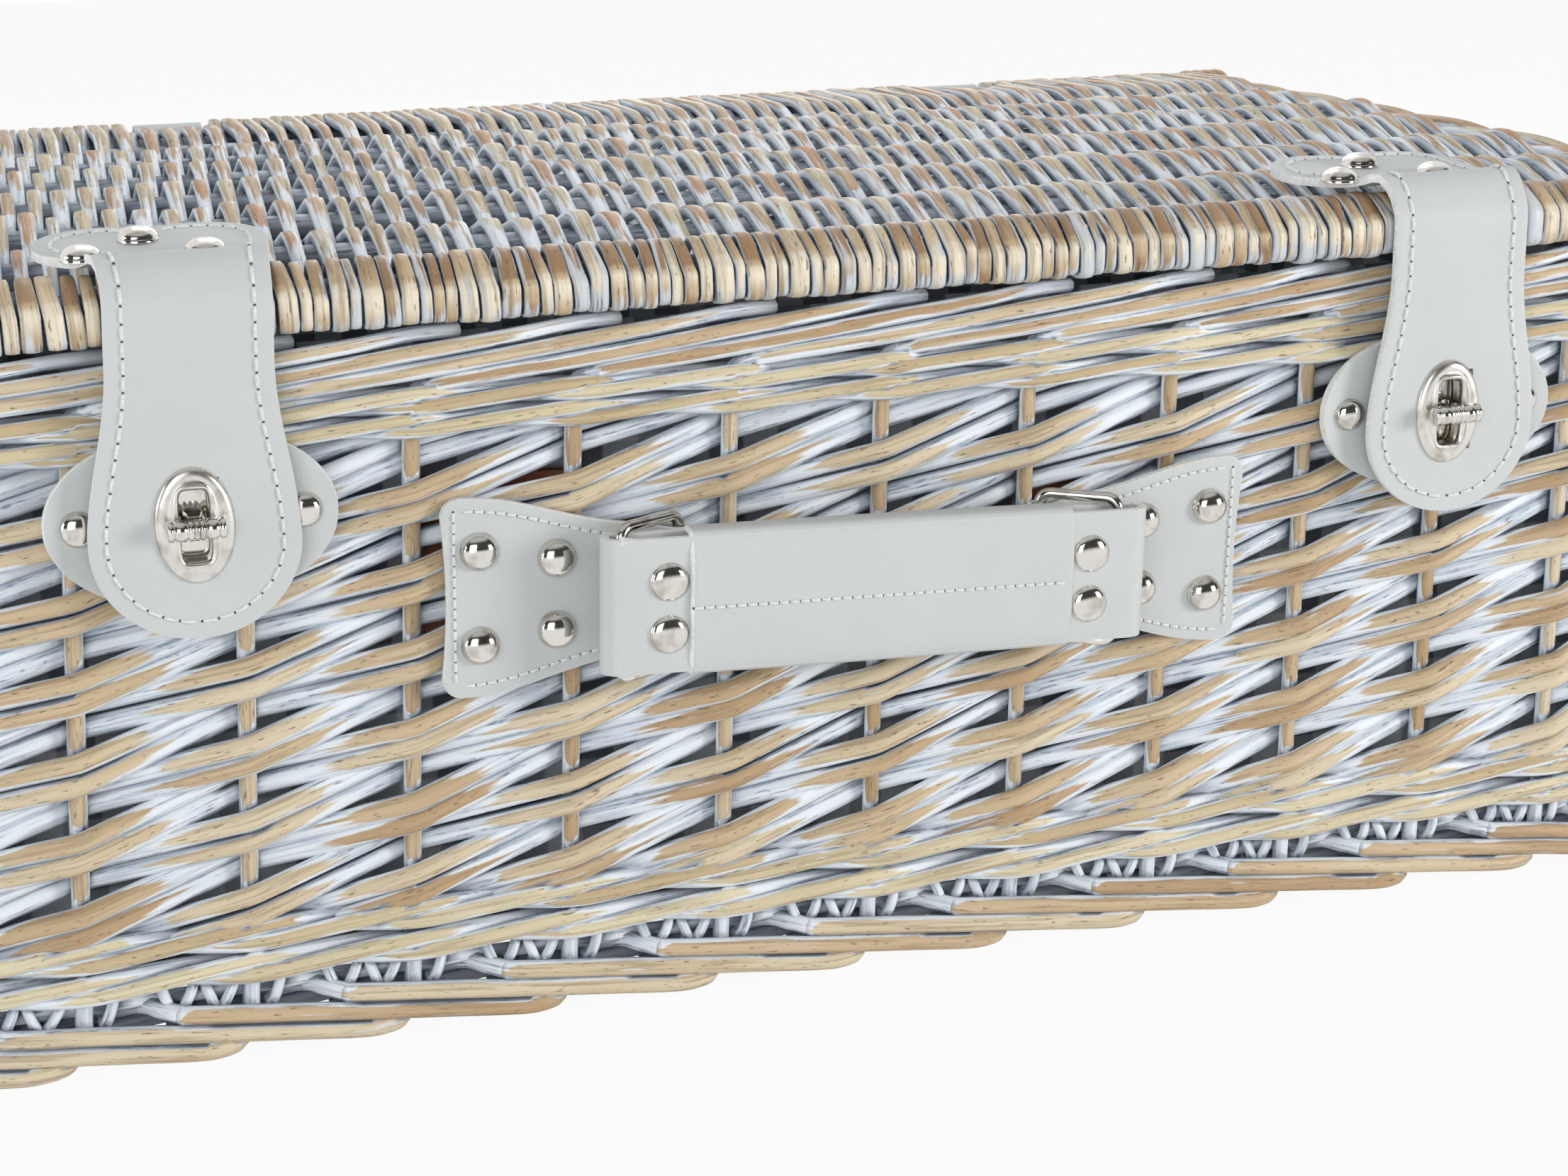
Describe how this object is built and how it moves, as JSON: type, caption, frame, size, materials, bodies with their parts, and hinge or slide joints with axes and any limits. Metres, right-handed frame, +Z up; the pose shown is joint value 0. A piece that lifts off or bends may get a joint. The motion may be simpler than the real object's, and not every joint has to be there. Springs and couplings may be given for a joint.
{
  "type": "picnic basket",
  "caption": "Rectangular woven willow hamper with a hinged lid, leather straps with turn locks, a leather handle on wire rings and a cloth liner.",
  "frame": {"origin": "on the ground under the middle of the basket's box", "axes": "+X along the front from left to right, +Y from the front to the hinges, +Z up"},
  "size_m": [0.544, 0.3605, 0.2196],
  "materials": {
    "willow": "bare rods with wear",
    "washed_willow": "white wash rubbed through to the wood",
    "leather": "pale grey, fine grain, satin",
    "nickel": "polished nickel",
    "lining": "woven check",
    "board": "stained board"
  },
  "bodies": {
    "basket": {"back_foot": "washed_willow", "back_stakes": "willow", "back_weave": "washed_willow", "base_weave": "washed_willow", "front_foot": "washed_willow", "front_stakes": "willow", "front_weave": "washed_willow", "left_backing_plate": "board", "left_foot": "washed_willow", "left_hinge_leaf": "leather", "left_lock_base": "nickel", "left_lock_patch": "leather", "left_stakes": "willow", "left_tab": "leather", "left_tab_rivet_1": "nickel", "left_tab_rivet_2": "nickel", "left_tab_rivet_3": "nickel", "left_tab_rivet_4": "nickel", "left_weave": "washed_willow", "liner": "lining", "right_backing_plate": "board", "right_foot": "washed_willow", "right_hinge_leaf": "leather", "right_lock_base": "nickel", "right_lock_patch": "leather", "right_stakes": "willow", "right_tab": "leather", "right_tab_rivet_1": "nickel", "right_tab_rivet_2": "nickel", "right_tab_rivet_3": "nickel", "right_tab_rivet_4": "nickel", "right_weave": "washed_willow"},
    "lid": {"left_strap_rivet_1": "nickel", "left_strap_rivet_2": "nickel", "left_strap_rivet_3": "nickel", "left_strap_top": "leather", "lid_back_stick": "willow", "lid_left_border": "willow", "lid_right_border": "willow", "lid_weave": "willow", "right_strap_rivet_1": "nickel", "right_strap_rivet_2": "nickel", "right_strap_rivet_3": "nickel", "right_strap_top": "leather"},
    "left_flap": {"left_lock_eyelet": "nickel", "left_strap_flap": "leather"},
    "right_flap": {"right_lock_eyelet": "nickel", "right_strap_flap": "leather"},
    "left_toggle": {"left_lock_toggle": "nickel"},
    "right_toggle": {"right_lock_toggle": "nickel"},
    "left_ring": {"left_ring": "nickel"},
    "right_ring": {"right_ring": "nickel"},
    "handle": {"handle_grip": "leather", "handle_rivet_1": "nickel", "handle_rivet_2": "nickel", "handle_rivet_3": "nickel", "handle_rivet_4": "nickel", "handle_strap": "leather"}
  },
  "joints": [
    {"name": "lid_open", "type": "hinge", "parent": "basket", "child": "lid", "pos_m": [0, 0.1712, 0.204], "axis": [-1, 0, 0], "range_deg": [0, 180]},
    {"name": "left_flap_lift", "type": "hinge", "parent": "lid", "child": "left_flap", "pos_m": [-0.176, -0.1641, 0.2025], "axis": [-1, 0, 0], "range_deg": [0, 90]},
    {"name": "right_flap_lift", "type": "hinge", "parent": "lid", "child": "right_flap", "pos_m": [0.176, -0.1641, 0.2025], "axis": [-1, 0, 0], "range_deg": [0, 90]},
    {"name": "left_toggle_turn", "type": "hinge", "parent": "basket", "child": "left_toggle", "pos_m": [-0.176, -0.1601, 0.1505], "axis": [0, -1, 0], "range_deg": [0, 90]},
    {"name": "right_toggle_turn", "type": "hinge", "parent": "basket", "child": "right_toggle", "pos_m": [0.176, -0.1601, 0.1505], "axis": [0, -1, 0], "range_deg": [0, 90]},
    {"name": "handle_pull", "type": "slide", "parent": "basket", "child": "handle", "axis": [0, -1, 0], "range_m": [0, 0.006]},
    {"name": "left_ring_swing", "type": "hinge", "parent": "basket", "child": "left_ring", "pos_m": [-0.05147, -0.1614, 0.1203], "axis": [0.035, 0, 0.9994], "range_deg": [0, 21.5]},
    {"name": "right_ring_swing", "type": "hinge", "parent": "basket", "child": "right_ring", "pos_m": [0.05147, -0.1614, 0.1167], "axis": [-0.035, 0, -0.9994], "range_deg": [0, 21.5]}
  ],
  "couplings": [
    {"joint": "left_ring_swing", "follows": "handle_pull", "rad_per_m": 62.361},
    {"joint": "right_ring_swing", "follows": "handle_pull", "rad_per_m": 62.361}
  ]
}
